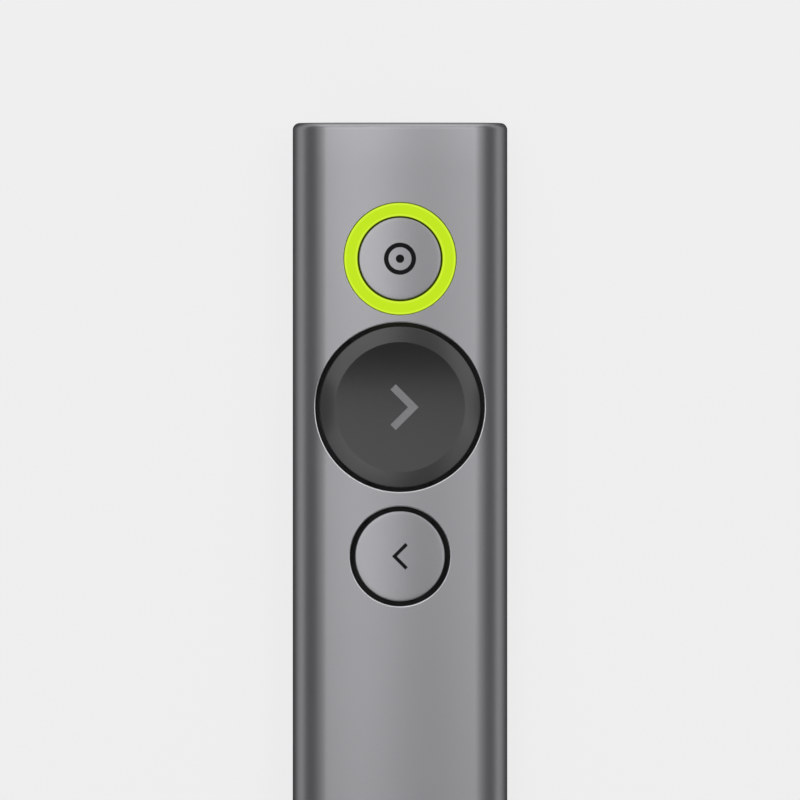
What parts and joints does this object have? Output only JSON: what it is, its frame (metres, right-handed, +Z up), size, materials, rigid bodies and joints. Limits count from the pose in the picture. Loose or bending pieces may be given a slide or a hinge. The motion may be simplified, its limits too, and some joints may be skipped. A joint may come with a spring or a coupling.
{
  "type": "wireless presentation clicker",
  "caption": "Slim handheld remote in an anodised aluminium tube, with pointer, next and back push buttons, a lit ring, a stowed USB receiver and a charging port.",
  "frame": {"origin": "middle of the flat underside of the tube, on the surface that the clicker lies on", "axes": "+Y towards the front end, +Z up through the buttons, +X to the right of the buttons seen from above"},
  "size_m": [0.0282, 0.1395, 0.0122],
  "materials": {
    "body_aluminium": "satin anodised space grey",
    "dark_plastic": "soft satin",
    "light_guide": "frosted, lit from below",
    "mark_black": "satin ink",
    "mark_grey": "satin ink",
    "frame_plastic": "moulded, fine texture",
    "carrier_plastic": "moulded",
    "board_mask": "solder mask",
    "chip_black": "moulded, matte",
    "passive_tan": "fired",
    "lamp_white": "clear resin",
    "antenna_white": "fired",
    "steel": "rolled",
    "screw_steel": "black oxide",
    "contact_gold": "gold plated",
    "weight_brass": "sintered",
    "pouch_foil": "laminated foil",
    "foam_black": "foam",
    "rubber_black": "moulded rubber",
    "lead_red": "silicone",
    "lead_black": "silicone",
    "connector_white": "nylon",
    "tongue_black": "moulded"
  },
  "bodies": {
    "housing": {"housing_tube": "body_aluminium", "front_cap": "dark_plastic", "rear_bezel": "dark_plastic", "inner_chassis": "frame_plastic", "receiver_bay": "frame_plastic", "button_frame": "frame_plastic", "pointer_light_ring": "light_guide", "main_board": "board_mask", "radio_chip": "chip_black", "radio_shield": "steel", "motion_sensor": "chip_black", "crystal": "steel", "power_chip": "chip_black", "chip_antenna": "antenna_white", "ring_leds": "lamp_white", "board_passives": "passive_tan", "frame_screws": "screw_steel", "bay_screws": "screw_steel", "battery_cell": "pouch_foil", "battery_foam_pad": "foam_black", "battery_guard_board": "board_mask", "battery_lead_red": "lead_red", "battery_lead_black": "lead_black", "battery_plug": "connector_white", "battery_header": "connector_white", "motor_can": "steel", "motor_cradle": "rubber_black", "motor_leads": "lead_red", "charging_port_shell": "steel", "charging_port_tongue": "tongue_black", "charging_port_contacts": "contact_gold", "pointer_switch_base": "chip_black", "pointer_switch_dome": "steel", "next_switch_base": "chip_black", "next_switch_dome": "steel", "back_switch_base": "chip_black", "back_switch_dome": "steel"},
    "pointer_button": {"pointer_button_cap": "body_aluminium", "pointer_button_mark": "mark_black", "pointer_button_carrier": "carrier_plastic", "pointer_switch_stem": "carrier_plastic"},
    "next_button": {"next_button_cap": "dark_plastic", "next_button_mark": "mark_grey", "next_button_carrier": "carrier_plastic", "next_switch_stem": "carrier_plastic"},
    "back_button": {"back_button_cap": "body_aluminium", "back_button_mark": "mark_black", "back_button_carrier": "carrier_plastic", "back_switch_stem": "carrier_plastic"},
    "motor_rotor": {"motor_shaft": "steel", "motor_weight": "weight_brass"},
    "receiver": {"receiver_head": "dark_plastic", "receiver_front_plate": "dark_plastic", "receiver_board": "board_mask", "receiver_plug_shell": "steel", "receiver_plug_tongue": "tongue_black", "receiver_plug_contacts": "contact_gold", "receiver_pull_tab": "rubber_black"}
  },
  "joints": [
    {"name": "pointer_press", "type": "slide", "parent": "housing", "child": "pointer_button", "axis": [0, 0, -1], "range_m": [0, 0.0004], "stiffness_N_per_m": 3000, "springref_m": -0.0002, "deforming": ["pointer_switch_dome"]},
    {"name": "next_press", "type": "slide", "parent": "housing", "child": "next_button", "axis": [0, 0, -1], "range_m": [0, 0.0004], "stiffness_N_per_m": 3000, "springref_m": -0.0002, "deforming": ["next_switch_dome"]},
    {"name": "back_press", "type": "slide", "parent": "housing", "child": "back_button", "axis": [0, 0, -1], "range_m": [0, 0.0004], "stiffness_N_per_m": 3000, "springref_m": -0.0002, "deforming": ["back_switch_dome"]},
    {"name": "receiver_slide", "type": "slide", "parent": "housing", "child": "receiver", "axis": [0, -1, 0], "range_m": [0, 0.025]},
    {"name": "motor_spin", "type": "hinge", "parent": "housing", "child": "motor_rotor", "pos_m": [0, -0.0175, 0.0086], "axis": [0, 1, 0], "continuous": true}
  ]
}
